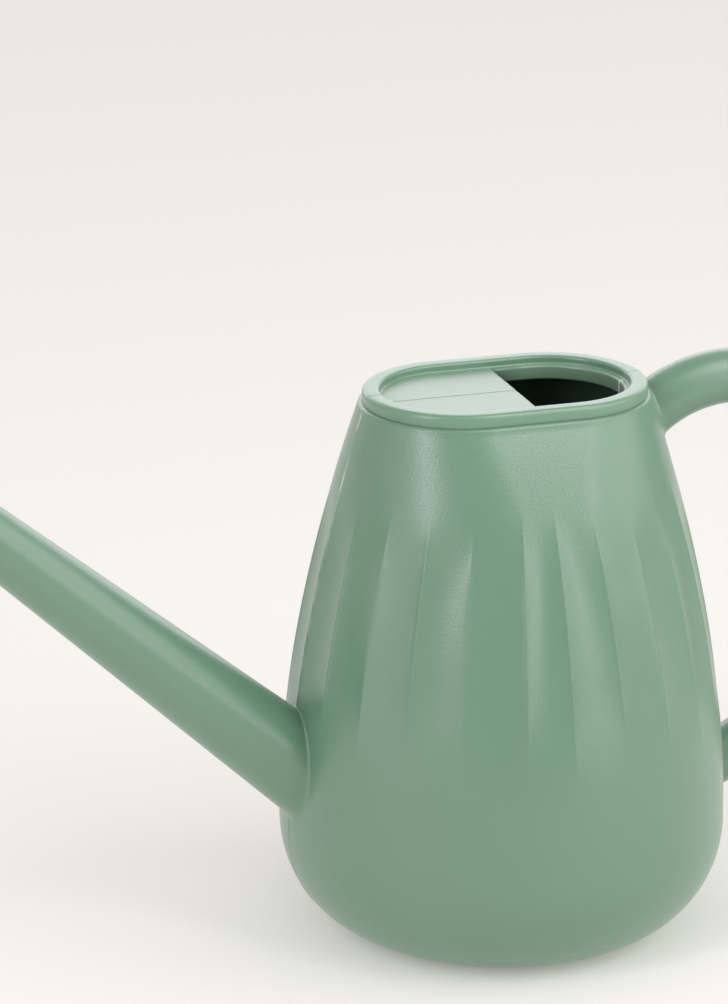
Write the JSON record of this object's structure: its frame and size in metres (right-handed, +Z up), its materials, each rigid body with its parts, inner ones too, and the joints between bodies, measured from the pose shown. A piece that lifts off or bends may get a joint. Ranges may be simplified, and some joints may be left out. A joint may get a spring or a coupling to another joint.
{
  "type": "watering can",
  "caption": "Long-spout watering can in matte green plastic: fluted round body, oval rim with a half deck over the filler, straight tapering spout and loop handle.",
  "frame": {"origin": "centre of the round base, on the ground", "axes": "+Z up, -X along the spout's direction, +X towards the handle; the XZ plane is the moulding's parting plane and the plane of symmetry"},
  "size_m": [0.3824, 0.16, 0.2114],
  "materials": {
    "moulded_green": "fine sand-blasted mould texture, matte with a soft sheen",
    "moulded_green_top": "the same matte plastic, smoother on the flat deck and the rounded rim"
  },
  "bodies": {
    "root": {"base_pan": "moulded_green", "belly_bowl": "moulded_green", "fluted_wall": "moulded_green", "rim_collar": "moulded_green_top", "splash_deck": "moulded_green_top", "filler_lip": "moulded_green_top", "spout_root": "moulded_green", "spout_tube": "moulded_green", "spout_tip": "moulded_green", "handle_neck": "moulded_green", "handle_bow": "moulded_green", "handle_grip": "moulded_green", "handle_heel": "moulded_green", "handle_foot": "moulded_green"}
  },
  "joints": []
}
